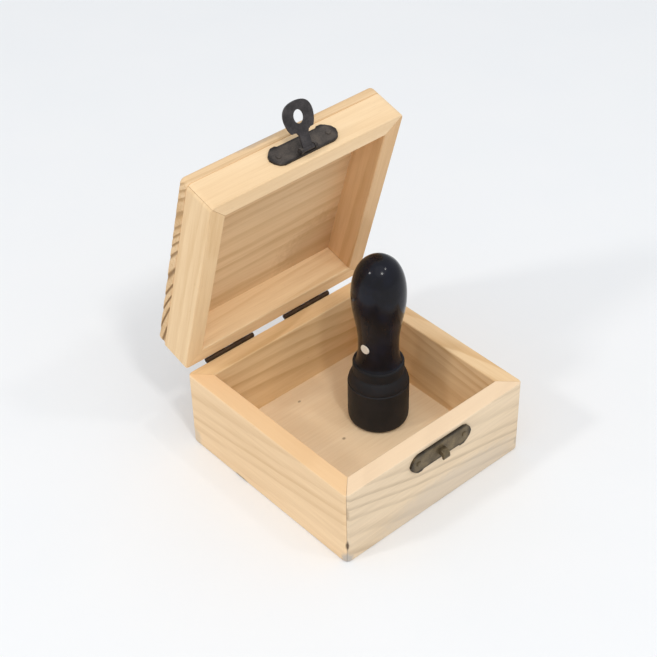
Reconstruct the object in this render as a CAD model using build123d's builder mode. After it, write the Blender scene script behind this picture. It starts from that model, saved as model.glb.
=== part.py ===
from build123d import *
import os
from math import sin, cos, radians

os.makedirs("parts", exist_ok=True)

# ----------------------------------------------------------------------------
# Small square pine box with a hinged lid, a swinging hasp latch and a loose
# round-headed jack that stands on the box floor.
# Frame: origin at the middle of the box underside, X along the hinge line
# (right seen from the latch side), -Y is the latch side, +Z up, millimetres.
# The lid is modelled where it stands open; LID is the lid's own frame, whose
# axes match the box axes when the lid is shut.
# ----------------------------------------------------------------------------

# box
BOX_W = 95.0            # outside width, X
BOX_D = 95.0            # outside depth, Y
BOX_H = 35.5            # height of the lower part
WALL = 8.0              # wall thickness
FLOOR_T = 4.0           # floor panel thickness
REBATE = 3.0            # depth of the rebate that holds the floor panel
CORNER_R = 2.5          # rounding of the four upright corners
EDGE_R = 0.6            # rounding of the long edges
MITRE_GAP = 0.07        # each mitred end stands back this much along its wall

# lid
RAIL_H = 14.0           # height of the lid rails
PANEL_T = 4.6           # solid top panel
RIM_GAP = 1.0           # gap between the two rims when shut (the hinge leaves)
LID_OPEN = 74.0         # how far the lid stands open, degrees from shut
PANEL_EDGE_R = 1.5
JOINT_CHAMFER = 0.28    # small V groove where the panel meets the rails

# hinges
HINGE_OUT = 0.7         # the pin stands this far behind the back faces
HINGE_Y = BOX_D / 2 + HINGE_OUT
HINGE_Z = BOX_H + RIM_GAP / 2
HINGE_X = (-24.8, 16.7) # middle of each hinge
HINGE_L = 24.6          # length of each hinge
LEAF_T = 0.5            # the leaves lie on the outer back faces
LEAF_H = 9.0            # how far a leaf reaches from the pin
KNUCKLE_R = 0.95
PIN_R = 0.42
PIN_CLEAR = 0.05
KNUCKLES = 5
KNUCKLE_GAP = 0.15
KNUCKLE_L = (HINGE_L - (KNUCKLES - 1) * KNUCKLE_GAP) / KNUCKLES
HINGE_NAIL_DX = 8.2     # nails either side of each hinge's middle
HINGE_NAIL_H = 5.8      # nails above or below the pin
HINGE_NAIL_HEAD_R = 1.0
HINGE_NAIL_R = 0.5

# latch and catch
PLATE_T = 1.0
CATCH_X = 1.1
CATCH_Z = 29.6
LATCH_X = 1.9
LATCH_Z = 43.5          # height of the lid plate's middle when shut
PIVOT_X = 1.1
PIVOT_Z = 40.3          # height of the hasp pivot when shut
PIVOT_OUT = 2.15        # pivot stands this far off the wood
LUG_R = 1.25
LUG_IN = 2.75           # inner faces of the two lugs from the pivot's middle
LUG_OUT = 4.0
TAB_KNUCKLE_R = 1.0
TAB_T = 0.8
TAB_PIN_R = 0.45
HOLE_B = 12.4           # distance of the hasp hole from the pivot
HASP_OPEN = 130.0       # hasp angle from hanging against the shut box
PLATE_NAIL_X = 12.2
PLATE_NAIL_R = 0.6
PLATE_NAIL_HEAD_R = 1.15

# jack
JACK_X = 16.0
JACK_Y = 2.8
CAP_R = 12.7
CAP_H = 20.0
CAP_WALL = 1.2
CAP_FLOOR = 1.6
FIT = 0.06              # radial clearance of the barrel in the cap
BARREL_TOP = 25.2       # heights measured from the box floor
COLLAR_TOP = 30.3
COLLAR_R = 10.6
JACK_H = 81.5
STUD_R = 2.5
DOT_R = 2.1
DOT_H = 40.6
DOT_TURN = 6.0          # the dot faces this many degrees round from -X towards the front

# ----------------------------------------------------------------------------
# frames
# ----------------------------------------------------------------------------
S, C = sin(radians(LID_OPEN)), cos(radians(LID_OPEN))
LID_Y = Vector(0, C, -S)            # the lid's own +Y at this opening
LID_Z = Vector(0, S, C)             # the lid's own +Z at this opening
LID = Plane(origin=(0, HINGE_Y, HINGE_Z), x_dir=(1, 0, 0), z_dir=LID_Z)


def lid_point(x, y, z):
    """A point given where it lies with the lid shut, moved to the open lid."""
    return Vector(x, HINGE_Y, HINGE_Z) + LID_Y * (y - HINGE_Y) + LID_Z * (z - HINGE_Z)


BOX_FRONT = Plane(origin=(CATCH_X, -BOX_D / 2, CATCH_Z), x_dir=(1, 0, 0), z_dir=(0, -1, 0))
BOX_BACK = Plane(origin=(0, BOX_D / 2, HINGE_Z), x_dir=(1, 0, 0), z_dir=(0, 1, 0))
LID_BACK = Plane(origin=lid_point(0, BOX_D / 2, HINGE_Z), x_dir=(1, 0, 0), z_dir=LID_Y)
LID_FRONT = Plane(origin=lid_point(LATCH_X, -BOX_D / 2, LATCH_Z), x_dir=(1, 0, 0), z_dir=LID_Y * -1)

# on both back planes the sketch's own +Y points down, away from the lid panel
BOX_NAILS = [(hx + dx, HINGE_NAIL_H) for hx in HINGE_X for dx in (-HINGE_NAIL_DX, HINGE_NAIL_DX)]
LID_NAILS = [(x, -y) for x, y in BOX_NAILS]

RIM_LOW = RIM_GAP / 2               # lid heights above the hinge axis
RAIL_TOP = RIM_LOW + RAIL_H
LID_TOP = RAIL_TOP + PANEL_T
LID_MID = -HINGE_Y                  # the box centre in the lid's own Y

# ----------------------------------------------------------------------------
# box walls: one rounded frame, parted at the mitres
# ----------------------------------------------------------------------------
with BuildPart() as box_blank:
    with BuildSketch():
        RectangleRounded(BOX_W, BOX_D, CORNER_R)
        Rectangle(BOX_W - 2 * WALL, BOX_D - 2 * WALL, mode=Mode.SUBTRACT)
    extrude(amount=BOX_H)
    with BuildSketch():
        Rectangle(BOX_W - 2 * WALL + 2 * REBATE, BOX_D - 2 * WALL + 2 * REBATE)
    extrude(amount=FLOOR_T, mode=Mode.SUBTRACT)
    fillet(box_blank.edges().group_by(Axis.Z)[-1], EDGE_R)
    low = box_blank.edges().group_by(Axis.Z)[0]
    fillet(low.filter_by(lambda e: max(abs(e.center().X), abs(e.center().Y)) > BOX_W / 2 - 1.5), 0.8)

# wedge whose two long sides run along the mitres of the side facing `turn`
WEDGE = [(0, -MITRE_GAP), (-60, -60 - MITRE_GAP), (60, -60 - MITRE_GAP)]

with BuildPart() as front_wall:
    add(box_blank.part)
    with BuildSketch(Plane.XY.offset(-1)):
        with BuildLine():
            Polyline(*WEDGE, close=True)
        make_face()
    extrude(amount=BOX_H + 2, mode=Mode.INTERSECT)
    with BuildSketch(BOX_FRONT):
        with Locations((-PLATE_NAIL_X, 0), (PLATE_NAIL_X, 0)):
            Circle(PLATE_NAIL_R)
    extrude(amount=-5.0, mode=Mode.SUBTRACT)

with BuildPart() as back_wall:
    add(box_blank.part)
    with BuildSketch(Plane.XY.offset(-1)):
        with BuildLine():
            Polyline(*[(-x, -y) for x, y in WEDGE], close=True)
        make_face()
    extrude(amount=BOX_H + 2, mode=Mode.INTERSECT)
    with BuildSketch(BOX_BACK):
        with Locations(*BOX_NAILS):
            Circle(HINGE_NAIL_R)
    extrude(amount=-5.0, mode=Mode.SUBTRACT)

with BuildPart() as left_wall:
    add(box_blank.part)
    with BuildSketch(Plane.XY.offset(-1)):
        with BuildLine():
            Polyline(*[(y, x) for x, y in WEDGE], close=True)
        make_face()
    extrude(amount=BOX_H + 2, mode=Mode.INTERSECT)

with BuildPart() as right_wall:
    add(box_blank.part)
    with BuildSketch(Plane.XY.offset(-1)):
        with BuildLine():
            Polyline(*[(-y, x) for x, y in WEDGE], close=True)
        make_face()
    extrude(amount=BOX_H + 2, mode=Mode.INTERSECT)

with BuildPart() as floor_panel:
    with BuildSketch():
        side = BOX_W - 2 * WALL + 2 * REBATE - 0.1
        Rectangle(side, side)
    extrude(amount=FLOOR_T)

# ----------------------------------------------------------------------------
# lid rails and panel, in the lid's own frame
# ----------------------------------------------------------------------------
def lid_height(e):
    return LID.to_local_coords(e.center()).Z


def lid_reach(e):
    p = LID.to_local_coords(e.center())
    return max(abs(p.X), abs(p.Y - LID_MID))


with BuildPart() as lid_blank:
    with BuildSketch(LID.offset(RIM_LOW)):
        with Locations((0, LID_MID)):
            RectangleRounded(BOX_W, BOX_D, CORNER_R)
            Rectangle(BOX_W - 2 * WALL, BOX_D - 2 * WALL, mode=Mode.SUBTRACT)
    extrude(amount=RAIL_H)
    fillet(lid_blank.edges().filter_by(lambda e: abs(lid_height(e) - RIM_LOW) < 0.01), EDGE_R)
    chamfer(
        lid_blank.edges().filter_by(
            lambda e: abs(lid_height(e) - RAIL_TOP) < 0.01 and lid_reach(e) > BOX_W / 2 - 1.5
        ),
        JOINT_CHAMFER,
    )


def lid_wedge(points):
    return [(x, y + LID_MID) for x, y in points]


with BuildPart() as lid_front_rail:
    add(lid_blank.part)
    with BuildSketch(LID.offset(-1)):
        with BuildLine():
            Polyline(*lid_wedge(WEDGE), close=True)
        make_face()
    extrude(amount=RAIL_TOP + 2, mode=Mode.INTERSECT)
    with BuildSketch(LID_FRONT):
        with Locations((-PLATE_NAIL_X, 0), (PLATE_NAIL_X, 0)):
            Circle(PLATE_NAIL_R)
    extrude(amount=-5.0, mode=Mode.SUBTRACT)

with BuildPart() as lid_back_rail:
    add(lid_blank.part)
    with BuildSketch(LID.offset(-1)):
        with BuildLine():
            Polyline(*lid_wedge([(-x, -y) for x, y in WEDGE]), close=True)
        make_face()
    extrude(amount=RAIL_TOP + 2, mode=Mode.INTERSECT)
    with BuildSketch(LID_BACK):
        with Locations(*LID_NAILS):
            Circle(HINGE_NAIL_R)
    extrude(amount=-5.0, mode=Mode.SUBTRACT)

with BuildPart() as lid_left_rail:
    add(lid_blank.part)
    with BuildSketch(LID.offset(-1)):
        with BuildLine():
            Polyline(*lid_wedge([(y, x) for x, y in WEDGE]), close=True)
        make_face()
    extrude(amount=RAIL_TOP + 2, mode=Mode.INTERSECT)

with BuildPart() as lid_right_rail:
    add(lid_blank.part)
    with BuildSketch(LID.offset(-1)):
        with BuildLine():
            Polyline(*lid_wedge([(-y, x) for x, y in WEDGE]), close=True)
        make_face()
    extrude(amount=RAIL_TOP + 2, mode=Mode.INTERSECT)

with BuildPart() as lid_panel:
    with BuildSketch(LID.offset(RAIL_TOP)):
        with Locations((0, LID_MID)):
            RectangleRounded(BOX_W, BOX_D, CORNER_R)
    extrude(amount=PANEL_T)
    fillet(lid_panel.edges().filter_by(lambda e: abs(lid_height(e) - LID_TOP) < 0.01), PANEL_EDGE_R)
    chamfer(lid_panel.edges().filter_by(lambda e: abs(lid_height(e) - RAIL_TOP) < 0.01), JOINT_CHAMFER)

# ----------------------------------------------------------------------------
# hinges: a leaf on each rim, knuckles in turn on one pin
# ----------------------------------------------------------------------------
def knuckle_starts(hx, odd):
    first = hx - HINGE_L / 2
    pitch = KNUCKLE_L + KNUCKLE_GAP
    return [first + i * pitch for i in range(KNUCKLES) if (i % 2 == 1) == odd]


def leaf(plane, side, odd, bore):
    """Leaves and knuckles of one side of both hinges. side is +1 below the pin, -1 above."""
    with BuildPart() as leaves:
        for hx in HINGE_X:
            with BuildSketch(plane):
                gap = KNUCKLE_R + 0.15
                with Locations((hx, side * (gap + LEAF_H) / 2)):
                    RectangleRounded(HINGE_L, LEAF_H - gap, 0.9)
                with Locations((hx, side * (gap + 1.5) / 2 + side * gap / 2)):
                    Rectangle(HINGE_L, 1.5)
                for x0 in knuckle_starts(hx, odd):
                    with Locations((x0 + KNUCKLE_L / 2, side * (gap + 0.4) / 2)):
                        Rectangle(KNUCKLE_L, gap + 0.4)
            extrude(amount=LEAF_T)
            for x0 in knuckle_starts(hx, odd):
                with BuildSketch(Plane.YZ.offset(x0)):
                    with Locations((HINGE_Y, HINGE_Z)):
                        Circle(KNUCKLE_R)
                extrude(amount=KNUCKLE_L)
            with BuildSketch(Plane.YZ.offset(hx - HINGE_L / 2 - 1)):
                with Locations((HINGE_Y, HINGE_Z)):
                    Circle(bore)
            extrude(amount=HINGE_L + 2, mode=Mode.SUBTRACT)
        with BuildSketch(plane):
            with Locations(*[(x, side * abs(y)) for x, y in BOX_NAILS]):
                Circle(HINGE_NAIL_R)
        extrude(amount=LEAF_T, mode=Mode.SUBTRACT)
    return leaves


hinge_box_leaves = leaf(BOX_BACK, 1, False, PIN_R)
hinge_lid_leaves = leaf(LID_BACK, -1, True, PIN_R + PIN_CLEAR)

with BuildPart() as hinge_pins:
    for hx in HINGE_X:
        with BuildSketch(Plane.YZ.offset(hx - HINGE_L / 2 - 0.35)):
            with Locations((HINGE_Y, HINGE_Z)):
                Circle(PIN_R)
        extrude(amount=HINGE_L + 0.7)
    fillet(hinge_pins.edges().filter_by(GeomType.CIRCLE), 0.2)


def hinge_nails(plane, places):
    with BuildPart() as nails:
        with BuildSketch(plane.offset(-5.0)):
            with Locations(*places):
                Circle(HINGE_NAIL_R)
        extrude(amount=5.0 + LEAF_T)
        with BuildSketch(plane.offset(LEAF_T)):
            with Locations(*places):
                Circle(HINGE_NAIL_HEAD_R)
        extrude(amount=0.3)
        fillet(
            nails.edges().filter_by(
                lambda e: abs(plane.to_local_coords(e.center()).Z - LEAF_T - 0.3) < 0.01
            ),
            0.22,
        )
    return nails


hinge_box_nails = hinge_nails(BOX_BACK, BOX_NAILS)
hinge_lid_nails = hinge_nails(LID_BACK, LID_NAILS)

# ----------------------------------------------------------------------------
# latch: two stamped plates of one outline, the hook, the hasp and its pin
# ----------------------------------------------------------------------------
END = [(15.6, 2.2), (16.3, 0.2), (15.6, -1.8), (14.1, -3.6), (12.2, -4.35)]
SHOULDER = [(9.4, 4.35), (10.3, 5.0), (12.4, 4.9), (13.9, 3.9)]
PLATE_OUTLINE = (
    SHOULDER
    + END
    + [(-x, y) for x, y in reversed(END)]
    + [(-x, y) for x, y in reversed(SHOULDER)]
)
CATCH_OUTLINE = [(x, -y) for x, y in PLATE_OUTLINE]     # shoulders away from the lid

# side view of the catch hook: distance off the wood, height from the plate's middle
HOOK = [(0.7, 0.6), (2.2, 0.6), (3.2, 0.2), (3.8, -0.6), (4.1, -1.6), (4.05, -2.6), (3.7, -3.1),
        (3.2, -3.15), (2.9, -2.7), (2.8, -2.1), (2.5, -1.7), (0.7, -1.6)]
HOOK_W = 3.2

with BuildPart() as catch_plate:
    with BuildSketch(BOX_FRONT):
        with BuildLine():
            Polyline(*CATCH_OUTLINE, close=True)
        make_face()
    extrude(amount=PLATE_T)
    fillet(catch_plate.faces().sort_by(Axis.Y)[0].edges(), 0.3)
    with BuildSketch(Plane.YZ.offset(CATCH_X - HOOK_W / 2)):
        with BuildLine():
            Polyline(*[(-BOX_D / 2 - p, CATCH_Z + z) for p, z in HOOK], close=True)
        make_face()
    extrude(amount=HOOK_W)
    with BuildSketch(BOX_FRONT):
        with Locations((-PLATE_NAIL_X, 0), (PLATE_NAIL_X, 0)):
            Circle(PLATE_NAIL_R)
    extrude(amount=PLATE_T + 0.5, mode=Mode.SUBTRACT)

with BuildPart() as catch_nails:
    with BuildSketch(BOX_FRONT.offset(-5.0)):
        with Locations((-PLATE_NAIL_X, 0), (PLATE_NAIL_X, 0)):
            Circle(PLATE_NAIL_R)
    extrude(amount=5.0 + PLATE_T)
    with BuildSketch(BOX_FRONT.offset(PLATE_T)):
        with Locations((-PLATE_NAIL_X, 0), (PLATE_NAIL_X, 0)):
            Circle(PLATE_NAIL_HEAD_R)
    extrude(amount=0.45)
    fillet(catch_nails.edges().group_by(Axis.Y)[0], 0.35)

PIVOT = lid_point(PIVOT_X, -BOX_D / 2 - PIVOT_OUT, PIVOT_Z)

with BuildPart() as latch_plate:
    with BuildSketch(LID_FRONT):
        with BuildLine():
            Polyline(*PLATE_OUTLINE, close=True)
        make_face()
    extrude(amount=PLATE_T)
    fillet(
        latch_plate.faces().sort_by(lambda f: LID_FRONT.to_local_coords(f.center()).Z)[-1].edges(), 0.3
    )
    for x0 in (PIVOT_X - LUG_OUT, PIVOT_X + LUG_IN):
        with BuildSketch(Plane.YZ.offset(x0)):
            with Locations((PIVOT.Y, PIVOT.Z)):
                Circle(LUG_R)
        extrude(amount=LUG_OUT - LUG_IN)
    with BuildSketch(Plane.YZ.offset(PIVOT_X - LUG_OUT - 1)):
        with Locations((PIVOT.Y, PIVOT.Z)):
            Circle(TAB_PIN_R)
    extrude(amount=2 * LUG_OUT + 2, mode=Mode.SUBTRACT)
    with BuildSketch(LID_FRONT):
        with Locations((-PLATE_NAIL_X, 0), (PLATE_NAIL_X, 0)):
            Circle(PLATE_NAIL_R)
    extrude(amount=PLATE_T + 0.5, mode=Mode.SUBTRACT)

with BuildPart() as latch_nails:
    with BuildSketch(LID_FRONT.offset(-5.0)):
        with Locations((-PLATE_NAIL_X, 0), (PLATE_NAIL_X, 0)):
            Circle(PLATE_NAIL_R)
    extrude(amount=5.0 + PLATE_T)
    with BuildSketch(LID_FRONT.offset(PLATE_T)):
        with Locations((-PLATE_NAIL_X, 0), (PLATE_NAIL_X, 0)):
            Circle(PLATE_NAIL_HEAD_R)
    extrude(amount=0.45)
    fillet(
        latch_nails.edges().filter_by(
            lambda e: abs(LID_FRONT.to_local_coords(e.center()).Z - PLATE_T - 0.45) < 0.01
        ),
        0.35,
    )

with BuildPart() as latch_pin:
    with BuildSketch(Plane.YZ.offset(PIVOT_X - LUG_OUT - 0.3)):
        with Locations((PIVOT.Y, PIVOT.Z)):
            Circle(TAB_PIN_R)
    extrude(amount=2 * LUG_OUT + 0.6)
    fillet(latch_pin.edges().filter_by(GeomType.CIRCLE), 0.15)

# the hasp's own plane: +Y runs from the pivot along the hasp, +Z is its outer
# side when it hangs shut
A = radians(HASP_OPEN)
TAB_DIR = LID_Z * -cos(A) + LID_Y * -sin(A)
TAB = Plane(origin=PIVOT, x_dir=(1, 0, 0), z_dir=Vector(1, 0, 0).cross(TAB_DIR))

TAB_SIDE = [(5.3, 7.2), (6.25, 9.0), (6.85, 11.2), (7.0, 13.2), (6.5, 15.4), (5.1, 17.2), (2.8, 18.2)]

with BuildPart() as latch_tab:
    with BuildSketch(TAB.offset(-TAB_T / 2)):
        with BuildLine():
            Polyline((2.2, 0), (2.2, 5.6), (2.7, 6.6), (3.7, 7.1), (5.3, 7.2))
            Spline(*[(x, y) for x, y in TAB_SIDE + [(0, 18.5)] + [(-x, y) for x, y in reversed(TAB_SIDE)]])
            Polyline((-5.3, 7.2), (-3.7, 7.1), (-2.7, 6.6), (-2.2, 5.6), (-2.2, 0))
            Line((-2.2, 0), (2.2, 0))
        make_face()
        with Locations((0, HOLE_B)):
            Ellipse(2.25, 2.65, mode=Mode.SUBTRACT)
    extrude(amount=TAB_T)
    fillet(
        latch_tab.edges().filter_by(
            lambda e: TAB.to_local_coords(e.center()).Y > 7.25
            and abs(abs(TAB.to_local_coords(e.center()).Z) - TAB_T / 2) < 0.01
        ),
        0.22,
    )
    with BuildSketch(Plane.YZ.offset(PIVOT_X - 2.6)):
        with Locations((PIVOT.Y, PIVOT.Z)):
            Circle(TAB_KNUCKLE_R)
    extrude(amount=5.2)
    with BuildSketch(Plane.YZ.offset(PIVOT_X - 3)):
        with Locations((PIVOT.Y, PIVOT.Z)):
            Circle(TAB_PIN_R + PIN_CLEAR)
    extrude(amount=6, mode=Mode.SUBTRACT)

# ----------------------------------------------------------------------------
# jack: capped barrel, collar and turned head, joined by a stud
# ----------------------------------------------------------------------------
JACK_AXIS = Axis((JACK_X, JACK_Y, 0), (0, 0, 1))
JACK = Plane(origin=(JACK_X, JACK_Y, FLOOR_T), x_dir=(1, 0, 0), z_dir=(0, -1, 0))

with BuildPart() as jack_cap:
    with BuildSketch(JACK):
        with BuildLine():
            Polyline((0, 0), (10.3, 0), (11.4, 0.3), (12.25, 1.15), (12.6, 2.4), (CAP_R, 4.2),
                     (CAP_R, CAP_H - 0.35), (CAP_R - 0.35, CAP_H), (CAP_R - CAP_WALL, CAP_H),
                     (CAP_R - CAP_WALL, CAP_FLOOR), (0, CAP_FLOOR), close=True)
        make_face()
    revolve(axis=JACK_AXIS)

BARREL_R = CAP_R - CAP_WALL - FIT
DIE_T = 2.2
DIE_Z = CAP_FLOOR + 0.4

with BuildPart() as jack_die:
    with BuildSketch(Plane(origin=(JACK_X, JACK_Y, FLOOR_T + DIE_Z))):
        Circle(9.6)
    extrude(amount=DIE_T)

with BuildPart() as jack_barrel:
    with BuildSketch(JACK):
        with BuildLine():
            Polyline((0, DIE_Z + DIE_T), (BARREL_R - 0.4, DIE_Z + DIE_T), (BARREL_R, DIE_Z + DIE_T + 0.4),
                     (BARREL_R, CAP_H + 0.12), (CAP_R - 0.35, CAP_H + 0.12))
            Spline((CAP_R - 0.35, CAP_H + 0.12), (12.35, CAP_H + 1.1), (11.85, CAP_H + 2.6),
                   (11.2, CAP_H + 3.9), (10.55, CAP_H + 4.8), (10.2, BARREL_TOP))
            Polyline((10.2, BARREL_TOP), (0, BARREL_TOP))
            Line((0, BARREL_TOP), (0, DIE_Z + DIE_T))
        make_face()
    revolve(axis=JACK_AXIS)
    with BuildSketch(Plane(origin=(JACK_X, JACK_Y, FLOOR_T + BARREL_TOP))):
        Circle(STUD_R)
    extrude(amount=-12.0, mode=Mode.SUBTRACT)

with BuildPart() as jack_collar:
    with BuildSketch(JACK):
        with BuildLine():
            Polyline((STUD_R, BARREL_TOP), (COLLAR_R - 0.4, BARREL_TOP), (COLLAR_R, BARREL_TOP + 0.4),
                     (COLLAR_R, COLLAR_TOP - 0.6), (COLLAR_R - 0.18, COLLAR_TOP - 0.18),
                     (COLLAR_R - 0.6, COLLAR_TOP), (STUD_R, COLLAR_TOP), close=True)
        make_face()
    revolve(axis=JACK_AXIS)

NECK = [(9.75, COLLAR_TOP), (9.35, 30.9), (8.85, 32.4), (8.5, 34.6), (8.35, 37.2), (8.35, 40.2),
        (8.5, 43.6), (8.95, 47.2), (9.6, 51.2), (10.35, 55.4), (10.95, 59.6), (11.15, 63.4),
        (11.02, 67.2), (10.5, 70.8), (9.6, 74.0), (8.2, 76.9), (6.3, 79.15)]

DOT_DIR = Vector(-cos(radians(DOT_TURN)), -sin(radians(DOT_TURN)), 0)
DOT_FACE = Plane(
    origin=Vector(JACK_X, JACK_Y, FLOOR_T + DOT_H) + DOT_DIR * 6.0,
    x_dir=(sin(radians(DOT_TURN)), -cos(radians(DOT_TURN)), 0),
    z_dir=DOT_DIR,
)

with BuildPart() as jack_head:
    with BuildSketch(JACK):
        with BuildLine():
            side = Spline(*NECK)
            TangentArc(side @ 1, (1.0, JACK_H - 0.03), tangent=side % 1)
            Polyline((1.0, JACK_H - 0.03), (0, JACK_H), (0, COLLAR_TOP), (9.75, COLLAR_TOP))
        make_face()
    revolve(axis=JACK_AXIS)
    with BuildSketch(Plane(origin=(JACK_X, JACK_Y, FLOOR_T + COLLAR_TOP))):
        Circle(STUD_R)
    extrude(amount=6.0, mode=Mode.SUBTRACT)
    with BuildSketch(DOT_FACE):
        Circle(DOT_R)
    extrude(amount=6.0, mode=Mode.SUBTRACT)

with BuildPart() as jack_dot:
    with BuildSketch(DOT_FACE):
        Circle(DOT_R)
    extrude(amount=2.65)
    fillet(jack_dot.edges().filter_by(GeomType.CIRCLE).sort_by(Axis.X)[0], 0.35)

with BuildPart() as jack_stud:
    with BuildSketch(Plane(origin=(JACK_X, JACK_Y, FLOOR_T + BARREL_TOP - 12.0))):
        Circle(STUD_R)
    extrude(amount=12.0 + COLLAR_TOP - BARREL_TOP + 6.0)

# ----------------------------------------------------------------------------
# write every piece
# ----------------------------------------------------------------------------
PIECES = {
    "front_wall": front_wall, "back_wall": back_wall, "left_wall": left_wall, "right_wall": right_wall,
    "floor_panel": floor_panel,
    "lid_front_rail": lid_front_rail, "lid_back_rail": lid_back_rail, "lid_left_rail": lid_left_rail,
    "lid_right_rail": lid_right_rail, "lid_panel": lid_panel,
    "hinge_box_leaves": hinge_box_leaves, "hinge_lid_leaves": hinge_lid_leaves, "hinge_pins": hinge_pins,
    "hinge_box_nails": hinge_box_nails, "hinge_lid_nails": hinge_lid_nails,
    "catch_plate": catch_plate, "catch_nails": catch_nails, "latch_plate": latch_plate,
    "latch_nails": latch_nails, "latch_pin": latch_pin, "latch_tab": latch_tab,
    "jack_cap": jack_cap, "jack_die": jack_die, "jack_barrel": jack_barrel, "jack_collar": jack_collar,
    "jack_head": jack_head, "jack_dot": jack_dot, "jack_stud": jack_stud,
}
for node, piece in PIECES.items():
    piece.part.label = node
    export_step(piece.part, "parts/" + node + ".step")
    print(node, len(piece.part.solids()), "solid(s)", round(piece.part.volume, 2), "mm3")
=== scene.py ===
import math

import bmesh
import bpy
from mathutils import Matrix, Vector


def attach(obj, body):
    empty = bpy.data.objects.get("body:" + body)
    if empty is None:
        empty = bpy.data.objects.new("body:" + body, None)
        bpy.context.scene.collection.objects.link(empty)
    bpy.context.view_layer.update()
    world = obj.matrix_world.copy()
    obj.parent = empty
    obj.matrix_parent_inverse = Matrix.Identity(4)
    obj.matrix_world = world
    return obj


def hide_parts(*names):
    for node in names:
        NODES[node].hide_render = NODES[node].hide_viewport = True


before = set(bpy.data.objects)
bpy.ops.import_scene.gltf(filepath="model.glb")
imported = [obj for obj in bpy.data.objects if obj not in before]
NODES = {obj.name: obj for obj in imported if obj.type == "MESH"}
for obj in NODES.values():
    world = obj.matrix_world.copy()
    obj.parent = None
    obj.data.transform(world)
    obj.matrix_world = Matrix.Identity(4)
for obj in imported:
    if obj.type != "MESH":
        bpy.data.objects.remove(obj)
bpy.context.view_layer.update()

MM = 0.001

# ---------------------------------------------------------------------------
# the lid's own frame, with the lid standing open
# ---------------------------------------------------------------------------
OPEN = math.radians(74.0)
S, C = math.sin(OPEN), math.cos(OPEN)
HINGE = Vector((0.0, 48.2, 36.0))
LID_Y = Vector((0.0, C, -S))
LID_Z = Vector((0.0, S, C))


def lid_point(x, y, z):
    """Millimetres with the lid shut to metres where the lid stands open."""
    return (Vector((x, HINGE.y, HINGE.z)) + LID_Y * (y - HINGE.y) + LID_Z * (z - HINGE.z)) * MM


# ---------------------------------------------------------------------------
# node building
# ---------------------------------------------------------------------------
def lin(r, g, b):
    """An 8-bit screen colour as a linear one."""
    return tuple(
        (c / 12.92 if c <= 0.04045 else ((c + 0.055) / 1.055) ** 2.4)
        for c in (r / 255, g / 255, b / 255)
    ) + (1.0,)


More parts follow.
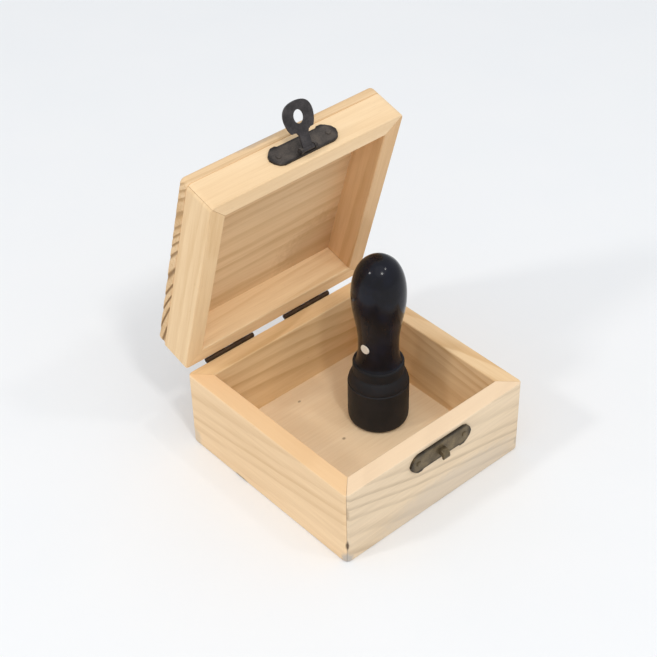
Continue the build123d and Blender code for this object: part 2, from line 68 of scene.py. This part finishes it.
class Shade:
    """A material whose nodes are made one after another."""

    def __init__(self, name):
        self.mat = bpy.data.materials.new(name)
        self.mat.use_nodes = True
        self.tree = self.mat.node_tree
        self.tree.nodes.clear()
        self.out = self.tree.nodes.new("ShaderNodeOutputMaterial")
        self.bsdf = self.tree.nodes.new("ShaderNodeBsdfPrincipled")
        self.tree.links.new(self.bsdf.outputs[0], self.out.inputs[0])
        self.coord = self.tree.nodes.new("ShaderNodeTexCoord")

    def node(self, kind, **props):
        n = self.tree.nodes.new(kind)
        for k, v in props.items():
            setattr(n, k, v)
        return n

    def put(self, socket, value):
        if isinstance(value, bpy.types.NodeSocket):
            self.tree.links.new(value, socket)
        elif value is not None:
            socket.default_value = value

    def set(self, **values):
        for k, v in values.items():
            self.put(self.bsdf.inputs[k.replace("_", " ")], v)

    def math(self, op, a, b=None, c=None, clamp=False):
        n = self.node("ShaderNodeMath", operation=op, use_clamp=clamp)
        for s, v in zip(n.inputs, (a, b, c)):
            self.put(s, v)
        return n.outputs[0]

    def vec(self, op, a, b=None, scale=None):
        n = self.node("ShaderNodeVectorMath", operation=op)
        self.put(n.inputs[0], a)
        if b is not None:
            self.put(n.inputs[1], b)
        if scale is not None:
            self.put(n.inputs[3], scale)
        return n.outputs["Value"] if op in ("DOT_PRODUCT", "LENGTH", "DISTANCE") else n.outputs[0]

    def join(self, x, y, z):
        n = self.node("ShaderNodeCombineXYZ")
        for s, v in zip(n.inputs, (x, y, z)):
            self.put(s, v)
        return n.outputs[0]

    def split(self, v):
        n = self.node("ShaderNodeSeparateXYZ")
        self.put(n.inputs[0], v)
        return n.outputs[0], n.outputs[1], n.outputs[2]

    def noise(self, vector, scale, detail=2.0, rough=0.5, lac=2.0, colour=False):
        n = self.node("ShaderNodeTexNoise", noise_dimensions="3D")
        self.put(n.inputs["Vector"], vector)
        n.inputs["Scale"].default_value = scale
        n.inputs["Detail"].default_value = detail
        n.inputs["Roughness"].default_value = rough
        n.inputs["Lacunarity"].default_value = lac
        return n.outputs["Color"] if colour else n.outputs["Fac"]

    def smooth(self, v, lo, hi, a=0.0, b=1.0):
        n = self.node("ShaderNodeMapRange", interpolation_type="SMOOTHSTEP", clamp=True)
        self.put(n.inputs[0], v)
        for i, x in zip((1, 2, 3, 4), (lo, hi, a, b)):
            self.put(n.inputs[i], x)
        return n.outputs[0]

    def line(self, v, lo, hi, a=0.0, b=1.0, clamp=True):
        n = self.node("ShaderNodeMapRange", interpolation_type="LINEAR", clamp=clamp)
        self.put(n.inputs[0], v)
        for i, x in zip((1, 2, 3, 4), (lo, hi, a, b)):
            self.put(n.inputs[i], x)
        return n.outputs[0]

    def mix(self, fac, a, b, blend="MIX"):
        n = self.node("ShaderNodeMix", data_type="RGBA", blend_type=blend, clamp_factor=True)
        self.put(n.inputs["Factor"], fac)
        self.put(n.inputs[6], a)
        self.put(n.inputs[7], b)
        return n.outputs[2]

    def ramp(self, fac, *stops):
        n = self.node("ShaderNodeValToRGB")
        el = n.color_ramp.elements
        while len(el) > 1:
            el.remove(el[-1])
        el[0].position, el[0].color = stops[0]
        for pos, colour in stops[1:]:
            e = el.new(pos)
            e.color = colour
        self.put(n.inputs[0], fac)
        return n.outputs[0]

    def bump(self, height, distance, strength=1.0):
        n = self.node("ShaderNodeBump")
        n.inputs["Strength"].default_value = strength
        n.inputs["Distance"].default_value = distance
        self.put(n.inputs["Height"], height)
        self.put(self.bsdf.inputs["Normal"], n.outputs[0])
        return n

    def place(self, rows, origin):
        """Object coordinates in metres as millimetres along the three given axes."""
        r = Matrix([tuple(a) for a in rows])
        t = -(r @ Vector(origin))
        n = self.node("ShaderNodeMapping", vector_type="POINT")
        self.put(n.inputs[0], self.coord.outputs["Object"])
        n.inputs["Scale"].default_value = (1000.0,) * 3
        n.inputs["Rotation"].default_value = r.to_euler("XYZ")
        n.inputs["Location"].default_value = t
        return n.outputs[0]


# ---------------------------------------------------------------------------
# pine
# ---------------------------------------------------------------------------
X, Y, Z = Vector((1, 0, 0)), Vector((0, 1, 0)), Vector((0, 0, 1))


def pine(name, rows, origin, pith, drift, ring, light, dark, contrast=1.0, warp=1.0,
         flecks=0.35, broad=0.5, ends=0.35, extra=None, offset=0.0, band=0.30, fibre=1.0):
    """Sawn and sanded pine. rows are the board's own axes: along the grain, then its width and its
    thickness. pith is where the log's middle passes the board's cross-section, drift how far it
    moves per millimetre along the grain, and ring the width of one year's growth."""
    m = Shade(name)
    p = m.place(rows, origin)
    u, v, w = m.split(p)
    # the trunk is not quite straight, so the rings wander slowly along the board
    slow = m.vec("MULTIPLY", p, (0.011, 0.030, 0.030))
    slow = m.vec("ADD", slow, (offset, offset * 1.7, -offset))
    wob = m.vec("SUBTRACT", m.noise(slow, 1.0, 1.2, 0.45, colour=True), (0.5, 0.5, 0.5))
    wx, wy, _ = m.split(m.vec("SCALE", wob, scale=warp * 9.0))
    fine = m.vec("MULTIPLY", p, (0.045, 0.30, 0.30))
    wig = m.math("SUBTRACT", m.noise(fine, 1.0, 2.0, 0.5), 0.5)
    a = m.math("ADD", m.math("MULTIPLY_ADD", u, -drift[0], m.math("SUBTRACT", v, pith[0])), wx)
    b = m.math("ADD", m.math("MULTIPLY_ADD", u, -drift[1], m.math("SUBTRACT", w, pith[1])), wy)
    r = m.math("SQRT", m.math("MULTIPLY_ADD", a, a, m.math("MULTIPLY", b, b)))
    r = m.math("MULTIPLY_ADD", wig, 0.8, r)
    turns = m.math("DIVIDE", r, ring)
    # years differ in width
    turns = m.math("ADD", turns, m.math("MULTIPLY", m.math("SINE", m.math("MULTIPLY", turns, 1.3)), 0.32))
    t = m.math("FRACT", turns)
    year = m.math("FLOOR", turns)
    late = m.math("MULTIPLY", m.smooth(t, band, 0.86), m.smooth(t, 0.88, 1.0, 1.0, 0.0))
    n1 = m.node("ShaderNodeTexWhiteNoise", noise_dimensions="1D")
    m.put(n1.inputs["W"], m.math("ADD", year, offset * 13.0))
    strong = m.line(n1.outputs["Value"], 0.0, 1.0, 0.40, 1.0)
    late = m.math("MULTIPLY", late, strong)
    # fibres: long and thin, so they are dots on a cut end
    fib = m.noise(m.vec("MULTIPLY", p, (0.08, 2.4, 2.4)), 1.0, 3.0, 0.6)
    fib2 = m.noise(m.vec("MULTIPLY", p, (0.022, 0.55, 0.55)), 1.0, 2.0, 0.55)
    patch = m.noise(m.vec("ADD", m.vec("MULTIPLY", p, (0.010, 0.050, 0.050)), (offset, 0, 0)), 1.0, 2.0, 0.5)
    shade = m.math("MULTIPLY", late, contrast)
    shade = m.math("ADD", shade, m.math("MULTIPLY", m.math("SUBTRACT", fib2, 0.5), 0.50 * fibre))
    shade = m.math("ADD", shade, m.math("MULTIPLY", m.math("SUBTRACT", patch, 0.5), broad * 1.5))
    shade = m.math("ADD", shade, m.math("MULTIPLY", m.math("SUBTRACT", fib, 0.5), 0.45 * fibre))
    cut = m.math("ABSOLUTE", m.vec("DOT_PRODUCT", m.coord.outputs["Normal"], tuple(rows[0])))
    cut = m.smooth(cut, 0.75, 0.98)
    shade = m.math("ADD", m.math("MULTIPLY", shade, m.line(cut, 0, 1, 1.0, 1.9)), m.math("MULTIPLY", cut, ends))
    shade = m.math("ADD", shade, 0.25, clamp=True)
    colour = m.ramp(shade, (0.0, light), (0.45, tuple(0.55 * x + 0.45 * y for x, y in zip(light, dark))), (1.0, dark))
    # resin canals: short thin streaks
    res = m.noise(m.vec("MULTIPLY", p, (0.26, 2.4, 2.4)), 1.0, 1.0, 0.4)
    res = m.smooth(res, 0.71, 0.80)
    few = m.smooth(m.noise(m.vec("MULTIPLY", p, (0.03, 0.08, 0.08)), 1.0, 1.0), 0.50, 0.68)
    res = m.math("MULTIPLY", m.math("MULTIPLY", res, few), flecks)
    colour = m.mix(res, colour, lin(128, 96, 62))
    if extra:
        colour = extra(m, colour, p, u, v, w)
    m.put(m.bsdf.inputs["Base Color"], colour)
    m.put(m.bsdf.inputs["Roughness"], m.line(fib, 0.3, 0.7, 0.52, 0.68))
    m.bsdf.inputs["IOR"].default_value = 1.45
    m.bsdf.inputs["Specular IOR Level"].default_value = 0.30
    h = m.math("ADD", m.math("MULTIPLY", fib, 0.6), m.math("MULTIPLY", late, 0.4))
    h = m.math("ADD", h, m.math("MULTIPLY", fib2, 0.4))
    m.bump(h, 0.00010, 0.5)
    return m.mat


LIGHT = lin(247, 216, 172)
DARK = lin(214, 172, 120)


def give(node, mat):
    o = NODES[node]
    o.data.materials.clear()
    o.data.materials.append(mat)
    return o


def spot(m, colour, p, at, size, tone, amount, power=1.0):
    """A soft stain: at and size are in the board's own millimetres, one number per axis."""
    q = m.vec("DIVIDE", m.vec("SUBTRACT", p, at), size)
    d = m.vec("LENGTH", q)
    edge = m.noise(m.vec("MULTIPLY", p, (0.5, 0.5, 0.5)), 1.0, 2.0, 0.6)
    d = m.math("ADD", d, m.math("MULTIPLY", m.math("SUBTRACT", edge, 0.5), 0.5))
    return m.mix(m.smooth(d, 0.45, 1.0, amount, 0.0), colour, tone)


def rim(m, colour, tone, amount):
    """The planed and worn top edge of a wall, which shows less of its grain. It is also painted light: faces that
    point up get a tone of their own, standing in for the light from above.
    """
    up = m.smooth(m.vec("DOT_PRODUCT", m.coord.outputs["Normal"], (0.0, 0.0, 1.0)), 0.80, 0.98)
    return m.mix(m.math("MULTIPLY", up, amount), colour, tone)


def front_marks(m, colour, p, u, v, w):
    # the top edge: its planed finish, with painted light from above
    colour = rim(m, colour, lin(250, 219, 182), 0.68)
    # greyer towards the bottom of the latch side, and a split in the front corner
    colour = spot(m, colour, p, (10, 4, 47.5), (48, 12, 6), lin(206, 196, 184), 0.38)
    colour = spot(m, colour, p, (-47.0, 1.5, 46.5), (3.6, 4.2, 3.6), lin(176, 172, 168), 0.75)
    colour = spot(m, colour, p, (-47.1, 8.8, 47.0), (1.35, 3.5, 1.35), lin(78, 56, 38), 0.92)
    colour = spot(m, colour, p, (-47.0, 25.5, 47.0), (1.5, 4.0, 1.5), lin(150, 122, 92), 0.45)
    return spot(m, colour, p, (46.0, 4.5, 46.0), (2.6, 3.6, 3.0), lin(178, 164, 146), 0.5)


def left_marks(m, colour, p, u, v, w):
    # the top edge: its planed finish, with painted light from above
    colour = rim(m, colour, lin(244, 200, 148), 0.60)
    colour = spot(m, colour, p, (-47.0, 1.5, -46.5), (3.6, 4.2, 3.6), lin(176, 172, 168), 0.75)
    colour = spot(m, colour, p, (-47.1, 8.8, -47.2), (0.95, 3.5, 0.95), lin(78, 56, 38), 0.92)
    colour = spot(m, colour, p, (16.0, 0.4, -47.5), (5.0, 1.0, 1.2), lin(140, 118, 92), 0.7)
    return spot(m, colour, p, (46.0, 3.0, -47.0), (6.0, 6.0, 4.0), lin(198, 186, 168), 0.5)


give("front_wall", pine("pine_front", (X, Z, -Y), (0, 0, 0), (112, 66), (-0.22, -0.05), 6.6,
                        lin(240, 217, 185), lin(194, 170, 140), 0.55, 1.35, 0.35, 0.34, offset=1.3, band=0.46,
                        extra=front_marks))
give("left_wall", pine("pine_left", (Y, Z, X), (0, 0, 0), (96, -30), (-0.17, 0.03), 8.0,
                       lin(248, 216, 174), lin(212, 174, 128), 0.38, 1.0, 0.30, 0.45, offset=2.1, band=0.35,
                       extra=left_marks))
give("right_wall", pine("pine_right", (Y, Z, X), (0, 0, 0), (-50, 95), (0.08, -0.05), 5.2,
                        LIGHT, DARK, 0.45, 1.0, 0.3, 0.4, offset=3.7))
give("back_wall", pine("pine_back", (X, Z, -Y), (0, 0, 0), (-62, -85), (-0.12, 0.06), 6.8,
                       lin(244, 210, 162), lin(204, 162, 108), 0.45, 1.0, 0.3, 0.55, offset=4.9))
give("lid_front_rail", pine("pine_lid_front", (X, LID_Z, -LID_Y), HINGE, (60, -60), (0.06, 0.02), 6.2,
                            lin(250, 220, 178), lin(222, 182, 132), 0.30, 1.0, 0.25, 0.35, offset=6.1))
give("lid_back_rail", pine("pine_lid_back", (X, LID_Z, -LID_Y), HINGE, (-50, 60), (0.05, -0.02), 5.4,
                           LIGHT, DARK, 0.30, 1.0, 0.25, 0.4, offset=7.3))
give("lid_left_rail", pine("pine_lid_left", (LID_Y, LID_Z, X), HINGE, (65, -40), (0.03, 0.02), 6.4,
                           LIGHT, DARK, 0.28, 1.0, 0.25, 0.35, offset=8.9))
# painted shade: this rail is given darker wood than the other rails, standing in for the shade on its inner face
give("lid_right_rail", pine("pine_lid_right", (LID_Y, LID_Z, X), HINGE, (-55, 40), (0.04, 0.02), 5.4,
                            lin(234, 196, 150), lin(198, 154, 102), 0.35, 1.0, 0.25, 0.4, offset=9.7))

# ---------------------------------------------------------------------------
# lid panel: one solid board, its cut ends ridged where the saw tore the late wood
# ---------------------------------------------------------------------------
PITH = (15.0, -108.0)
PANEL_DRIFT = (0.035, 0.02)
PANEL_RING = 3.4


def panel_late(u, v, w):
    a = v - PITH[0] - PANEL_DRIFT[0] * u
    b = w - PITH[1] - PANEL_DRIFT[1] * u
    turns = math.hypot(a, b) / PANEL_RING
    turns += 0.32 * math.sin(1.3 * turns)
    t = turns - math.floor(turns)

    def step(x, lo, hi):
        x = min(1.0, max(0.0, (x - lo) / (hi - lo)))
        return x * x * (3 - 2 * x)

    return step(t, 0.48, 0.80) * (1 - step(t, 0.86, 1.0)), math.floor(turns)


def rounded_outline(half_x, half_y, radii, gap):
    """Points round a rectangle, counter-clockwise, about gap apart. radii are those of its corners
    on the -y side and on the +y side."""
    pts = []
    corners = ((1, 1, 0), (-1, 1, 90), (-1, -1, 180), (1, -1, 270))
    for k, (sx, sy, a0) in enumerate(corners):
        radius = radii[sy > 0]
        cx, cy = sx * (half_x - radius), sy * (half_y - radius)
        n = 10
        arc = [
            (cx + radius * math.cos(math.radians(a0 + 90 * i / n)), cy + radius * math.sin(math.radians(a0 + 90 * i / n)))
            for i in range(n + 1)
        ]
        pts += arc
        nx, ny, na = corners[(k + 1) % 4]
        then = radii[ny > 0]
        ex = nx * (half_x - then) + then * math.cos(math.radians(na))
        ey = ny * (half_y - then) + then * math.sin(math.radians(na))
        sx0, sy0 = arc[-1]
        length = math.hypot(ex - sx0, ey - sy0)
        cuts = int(length / gap)
        for i in range(1, cuts):
            pts.append((sx0 + (ex - sx0) * i / cuts, sy0 + (ey - sy0) * i / cuts))
    return pts


def lid_panel():
    half, low, high, edge, groove = 47.5, 14.5, 19.1, 1.7, 0.28
    radii = (2.5, 4.4)
    centre = -HINGE.y
    rows = [(2.0, low), (1.2, low), (groove, low), (groove * 0.4, low + groove * 0.6), (0.0, low + groove)]
    steps = 12
    rows += [(0.0, low + groove + (high - edge - low - groove) * i / steps) for i in range(1, steps + 1)]
    for i in range(1, 9):
        a = math.radians(90 * i / 8)
        rows.append((edge * (1 - math.cos(a)), high - edge + edge * math.sin(a)))
    rows += [(2.1, high)]
    bm = bmesh.new()
    loops = []
    for inset, h in rows:
        ring = []
        base = rounded_outline(half, half, radii, 0.42)
        for x, y in base:
            # the same point of the outline, moved in by the inset
            core = half - radii[y > 0]
            cx = max(-core, min(core, x))
            cy = max(-core, min(core, y))
            nx, ny = x - cx, y - cy
            d = math.hypot(nx, ny) or 1.0
            nx, ny = nx / d, ny / d
            px, py = x - nx * inset, y - ny * inset
            if abs(nx) > 0.6 and low + 0.15 < h and inset < 1.5:
                late, year = panel_late(px, centre + py, h)
                fade = min(1.0, (h - low - 0.15) / 0.8) * min(1.0, max(0.0, (1.5 - inset) / 0.9))
                wild = 0.5 + 0.5 * math.sin(year * 12.9 + 1.7)
                depth = (0.12 + 0.26 * wild) * late * fade * (abs(nx) - 0.6) / 0.4
                px -= math.copysign(depth, nx)
            v = HINGE + LID_Y * (centre + py) + LID_Z * h
            ring.append(bm.verts.new(((px) * MM, v.y * MM, v.z * MM)))
        loops.append(ring)
    n = len(loops[0])
    for a, b in zip(loops, loops[1:]):
        for i in range(n):
            bm.faces.new((a[i], a[(i + 1) % n], b[(i + 1) % n], b[i]))
    # each broad face is a fan about its own middle
    for ring, h, turn in ((loops[0], low, True), (loops[-1], high, False)):
        v = HINGE + LID_Y * centre + LID_Z * h
        hub = bm.verts.new((0.0, v.y * MM, v.z * MM))
        for i in range(n):
            pair = (ring[(i + 1) % n], ring[i]) if turn else (ring[i], ring[(i + 1) % n])
            bm.faces.new((*pair, hub))
    bmesh.ops.recalc_face_normals(bm, faces=bm.faces)
    me = bpy.data.meshes.new("lid_panel_board")
    bm.to_mesh(me)
    bm.free()
    o = bpy.data.objects.new("lid_panel_board", me)
    bpy.context.collection.objects.link(o)
    for poly in me.polygons:
        poly.use_smooth = len(poly.vertices) == 4
    return o


def panel_ends_and_painted_shade(m, colour, p, u, v, w):
    # torn late wood on the cut ends is brown, and the top of the board is grey beside the hasp
    a = m.math("SUBTRACT", m.math("SUBTRACT", v, PITH[0]), m.math("MULTIPLY", u, PANEL_DRIFT[0]))
    b = m.math("SUBTRACT", m.math("SUBTRACT", w, PITH[1]), m.math("MULTIPLY", u, PANEL_DRIFT[1]))
    turns = m.math("DIVIDE", m.math("SQRT", m.math("MULTIPLY_ADD", a, a, m.math("MULTIPLY", b, b))), PANEL_RING)
    turns = m.math("ADD", turns, m.math("MULTIPLY", m.math("SINE", m.math("MULTIPLY", turns, 1.3)), 0.32))
    t = m.math("FRACT", turns)
    torn = m.math("MULTIPLY", m.smooth(t, 0.50, 0.80), m.smooth(t, 0.86, 1.0, 1.0, 0.0))
    end = m.smooth(m.math("ABSOLUTE", u), 46.2, 47.3)
    wild = m.math("MULTIPLY_ADD", m.math("SINE", m.math("MULTIPLY_ADD", m.math("FLOOR", turns), 12.9, 1.7)), 0.5, 0.5)
    torn = m.math("MULTIPLY", torn, m.math("MULTIPLY", end, m.line(wild, 0, 1, 0.25, 0.85)))
    colour = m.mix(torn, colour, lin(120, 88, 52))
    # painted shade: a darker, redder patch towards one corner of the inner face, standing in for the shade in that
    # corner
    colour = spot(m, colour, p, (34.0, -16.0, 14.5), (30.0, 24.0, 3.0), lin(168, 124, 76), 0.42)
    return spot(m, colour, p, (-11.5, -95.7, 18.6), (14.0, 3.0, 2.4), lin(176, 158, 140), 0.6)


panel = lid_panel()
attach(panel, "lid")
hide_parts("lid_panel")
panel.data.materials.append(
    pine("pine_lid_panel", (X, LID_Y, LID_Z), HINGE, PITH, PANEL_DRIFT, PANEL_RING,
         lin(240, 207, 164), lin(200, 160, 110), 0.42, 0.12, 0.3, 0.55, 0.25, extra=panel_ends_and_painted_shade, offset=11.2, band=0.40)
)


def plywood():
    m = Shade("plywood")
    p = m.place((X, Y, Z), (0, 0, 0))
    fib = m.noise(m.vec("MULTIPLY", p, (0.05, 1.1, 1.1)), 1.0, 3.0, 0.6)
    wide = m.noise(m.vec("MULTIPLY", p, (0.02, 0.07, 0.07)), 1.0, 2.0, 0.5)
    s = m.math("ADD", m.math("MULTIPLY", fib, 0.5), m.math("MULTIPLY", wide, 0.6))
    colour = m.ramp(s, (0.25, lin(252, 229, 195)), (0.85, lin(234, 205, 165)))
    colour = spot(m, colour, p, (-2.9, 31.4, 4.0), (1.0, 0.8, 2.0), lin(130, 104, 74), 0.60)
    colour = spot(m, colour, p, (-4.4, 1.7, 4.0), (1.0, 0.9, 2.0), lin(120, 98, 72), 0.65)
    m.put(m.bsdf.inputs["Base Color"], colour)
    m.put(m.bsdf.inputs["Roughness"], m.line(fib, 0.3, 0.7, 0.55, 0.7))
    m.bsdf.inputs["Specular IOR Level"].default_value = 0.3
    m.bump(fib, 0.0001, 0.4)
    return m.mat


give("floor_panel", plywood())


# ---------------------------------------------------------------------------
# metal and plastic
# ---------------------------------------------------------------------------
def bronze(name, rows=(X, Y, Z), origin=(0, 0, 0), half=None, tones=None):
    """Stamped steel with a dark bronze plating. half is the plate's half length and half height in
    its own millimetres, so that its rim is darker than its middle."""
    m = Shade(name)
    p = m.place(rows, origin)
    u, v, w = m.split(p)
    big = m.noise(p, 0.25, 3.0, 0.6)
    small = m.noise(p, 1.9, 3.0, 0.6)
    s = m.math("ADD", m.math("MULTIPLY", big, 0.55), m.math("MULTIPLY", small, 0.45))
    if half:
        across = m.smooth(m.math("ABSOLUTE", v), half[1] - 1.5, half[1] + 0.1)
        along = m.smooth(m.math("ABSOLUTE", u), half[0] - 3.0, half[0] + 0.1)
        rim = m.math("MAXIMUM", across, along)
        s = m.math("ADD", m.math("SUBTRACT", s, m.math("MULTIPLY", rim, 0.30)), 0.08)
    tones = tones or ((40, 32, 22), (76, 64, 46), (108, 93, 68), (134, 116, 84))
    colour = m.ramp(s, *[(at, lin(*tone)) for at, tone in zip((0.22, 0.42, 0.60, 0.75), tones)])
    m.put(m.bsdf.inputs["Base Color"], colour)
    m.bsdf.inputs["Metallic"].default_value = 0.45
    m.put(m.bsdf.inputs["Roughness"], m.line(small, 0.3, 0.7, 0.40, 0.58))
    m.bump(m.math("ADD", m.math("MULTIPLY", small, 0.6), m.math("MULTIPLY", big, 0.6)), 0.00012, 0.7)
    return m.mat


CATCH = bronze("bronze_catch", (X, Z, -Y), (1.1, -47.5, 29.6), (16.2, 4.4))
LATCH_AT = lid_point(1.9, -47.5, 43.5) * 1000.0
DIM = ((34, 29, 26), (60, 54, 50), (84, 76, 70), (102, 92, 82))
LATCH = bronze("bronze_latch", (X, LID_Z, -LID_Y), LATCH_AT, (16.2, 4.4), DIM)
HASP = bronze("bronze_hasp", tones=((32, 28, 29), (52, 48, 48), (70, 65, 65), (86, 80, 76)))
BROWN = bronze("bronze_hinge", tones=((34, 22, 12), (56, 38, 22), (78, 56, 34), (96, 72, 44)))
for n in NODES:
    if n.startswith("catch_"):
        give(n, CATCH)
    elif n in ("latch_plate", "latch_nails"):
        give(n, LATCH)
    elif n.startswith("hinge_"):
        give(n, BROWN)
    elif n.startswith("latch_"):
        give(n, HASP)


# stamping leaves no sharp edge on the hook
soft = NODES["catch_plate"].modifiers.new("stamped_edge", "BEVEL")
soft.width, soft.segments = 0.00040, 3
soft.limit_method, soft.angle_limit = "ANGLE", math.radians(50)


def plastic(name, a, b, rough_lo, rough_hi, spec):
    m = Shade(name)
    p = m.place((X, Y, Z), (0, 0, 0))
    big = m.noise(p, 0.12, 2.0, 0.5)
    small = m.noise(p, 2.5, 3.0, 0.6)
    m.put(m.bsdf.inputs["Base Color"], m.mix(m.smooth(big, 0.3, 0.7), a, b))
    m.put(m.bsdf.inputs["Roughness"], m.line(small, 0.3, 0.7, rough_lo, rough_hi))
    m.bsdf.inputs["Specular IOR Level"].default_value = spec
    m.bump(small, 0.00002, 0.3)
    return m.mat


HEAD_POINTS = [(9.75, 30.3), (9.35, 30.9), (8.85, 32.4), (8.5, 34.6), (8.35, 37.2), (8.35, 40.2),
               (8.5, 43.6), (8.95, 47.2), (9.6, 51.2), (10.35, 55.4), (10.95, 59.6), (11.15, 63.4),
               (11.02, 67.2), (10.5, 70.8), (9.6, 74.0), (8.2, 76.9), (6.3, 79.15)]


def jack_head():
    """The turned head, lathed on a fine smooth profile through the points of its outline."""
    pts = [Vector(p) for p in HEAD_POINTS]
    full = [pts[0]] + pts + [Vector((3.6, 80.85))]
    line = []
    for i in range(1, len(full) - 2):
        p0, p1, p2, p3 = full[i - 1], full[i], full[i + 1], full[i + 2]
        for k in range(8):
            t = k / 8
            line.append(0.5 * (2 * p1 + (p2 - p0) * t + (2 * p0 - 5 * p1 + 4 * p2 - p3) * t * t
                               + (3 * p1 - p0 - 3 * p2 + p3) * t ** 3))
    line.append(pts[-1])
    # the crown: one smooth cap from the last point to the top
    last, before = line[-1], line[-2]
    slope = (last - before).normalized()
    top = Vector((0.0, 81.5))
    reach = 3.2
    b1, b2 = last + slope * reach, top + Vector((2.6, 0.0))
    for k in range(1, 25):
        t = k / 24
        q = last * (1 - t) ** 3 + b1 * 3 * t * (1 - t) ** 2 + b2 * 3 * t * t * (1 - t) + top * t ** 3
        line.append(q)
    bm = bmesh.new()
    segments = 128
    axis = Vector((16.0, 2.8, 4.0))
    rings = []
    for q in line[:-1]:
        rings.append([
            bm.verts.new(((axis.x + q.x * math.cos(2 * math.pi * i / segments)) * MM,
                          (axis.y + q.x * math.sin(2 * math.pi * i / segments)) * MM, (axis.z + q.y) * MM))
            for i in range(segments)
        ])
    for a, b in zip(rings, rings[1:]):
        for i in range(segments):
            bm.faces.new((a[i], a[(i + 1) % segments], b[(i + 1) % segments], b[i]))
    crown = bm.verts.new((axis.x * MM, axis.y * MM, (axis.z + 81.5) * MM))
    foot = bm.verts.new((axis.x * MM, axis.y * MM, (axis.z + 30.3) * MM))
    for i in range(segments):
        bm.faces.new((rings[-1][i], rings[-1][(i + 1) % segments], crown))
        bm.faces.new((rings[0][(i + 1) % segments], rings[0][i], foot))
    bmesh.ops.recalc_face_normals(bm, faces=bm.faces)
    me = bpy.data.meshes.new("jack_head_turned")
    bm.to_mesh(me)
    bm.free()
    for poly in me.polygons:
        poly.use_smooth = True
    o = bpy.data.objects.new("jack_head_turned", me)
    bpy.context.collection.objects.link(o)
    return o


head = jack_head()
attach(head, "jack")
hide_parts("jack_head")
head.data.materials.append(plastic("black_gloss", lin(23, 22, 25), lin(27, 28, 37), 0.12, 0.15, 0.17))
SATIN = plastic("black_satin", lin(35, 35, 37), lin(41, 40, 42), 0.48, 0.60, 0.14)
for n in ("jack_cap", "jack_barrel", "jack_collar"):
    give(n, SATIN)
give("jack_dot", plastic("white_dot", lin(232, 224, 210), lin(222, 212, 196), 0.35, 0.5, 0.5))
give("jack_die", plastic("die_rubber", lin(96, 52, 46), lin(110, 60, 52), 0.6, 0.75, 0.4))
give("jack_stud", plastic("stud_steel", lin(150, 150, 152), lin(170, 170, 172), 0.3, 0.42, 0.5))

# ---------------------------------------------------------------------------
# floor, light, camera
# ---------------------------------------------------------------------------
me = bpy.data.meshes.new("floor")
bm = bmesh.new()
for x, y in ((-2, -2), (2, -2), (2, 2), (-2, 2)):
    bm.verts.new((x, y, -0.00002))
bm.faces.new(bm.verts)
bm.to_mesh(me)
bm.free()
floor = bpy.data.objects.new("stage_floor", me)
bpy.context.collection.objects.link(floor)
m = Shade("floor_white")
p = m.place((X, Y, Z), (0, 0, 0))
f = m.noise(p, 0.02, 2.0, 0.5)
m.put(m.bsdf.inputs["Base Color"], m.mix(f, (0.88, 0.89, 0.90, 1), (0.91, 0.91, 0.91, 1)))
m.bsdf.inputs["Roughness"].default_value = 0.7
m.bsdf.inputs["Specular IOR Level"].default_value = 0.2
me.materials.append(m.mat)

bpy.context.scene.view_settings.view_transform = "Standard"
world = bpy.data.worlds.new("studio")
bpy.context.scene.world = world
world.use_nodes = True
bg = world.node_tree.nodes["Background"]
bg.inputs[0].default_value = (0.93, 0.96, 1.0, 1)
bg.inputs[1].default_value = 0.76


def area(name, at, to, size, power, colour=(1, 1, 1), size_y=None):
    d = bpy.data.lights.new(name, "AREA")
    d.energy = power
    d.color = colour
    if size_y:
        d.shape = "RECTANGLE"
        d.size, d.size_y = size, size_y
    else:
        d.shape = "DISK"
        d.size = size
    o = bpy.data.objects.new(name, d)
    bpy.context.collection.objects.link(o)
    o.location = at
    o.rotation_mode = "QUATERNION"
    o.rotation_quaternion = (Vector(to) - Vector(at)).to_track_quat("-Z", "Y")
    return o


MID = (0.0, 0.0, 0.05)
area("softbox", (-0.35, -0.60, 1.40), MID, 1.4, 2.2, (1.0, 0.985, 0.95))
HEAD = Vector((0.016, 0.003, 0.083))
area("lamp_left", HEAD + Vector((-0.727, 0.208, 0.655)) * 1.5, HEAD, 0.19, 3.2, (1.0, 0.98, 0.95))
area("lamp_front", HEAD + Vector((-0.195, -0.585, 0.787)) * 1.5, HEAD, 0.17, 4.0, (1.0, 0.98, 0.95))
area("lamp_right", HEAD + Vector((0.226, -0.511, 0.829)) * 1.5, HEAD, 0.11, 1.3, (1.0, 0.98, 0.95))

cam_data = bpy.data.cameras.new("camera")
cam = bpy.data.objects.new("camera", cam_data)
bpy.context.collection.objects.link(cam)
az, el, roll = math.radians(-40.95), math.radians(39.096), math.radians(1.318)
back = Vector((math.sin(az) * math.cos(el), -math.cos(az) * math.cos(el), math.sin(el)))
right = Vector((math.cos(az), math.sin(az), 0.0))
up = back.cross(right)
r2 = right * math.cos(roll) - up * math.sin(roll)
u2 = right * math.sin(roll) + up * math.cos(roll)
rot = Matrix((r2, u2, back)).transposed()
cam.rotation_mode = "QUATERNION"
cam.rotation_quaternion = rot.to_quaternion()
cam.location = Vector((-312.317, -345.034, 439.212)) * MM
cam_data.sensor_width = 36.0
cam_data.sensor_fit = "HORIZONTAL"
cam_data.lens = 1543.0 / 657.0 * 36.0
cam_data.clip_start, cam_data.clip_end = 0.01, 20.0
bpy.context.scene.camera = cam

bpy.context.view_layer.update()
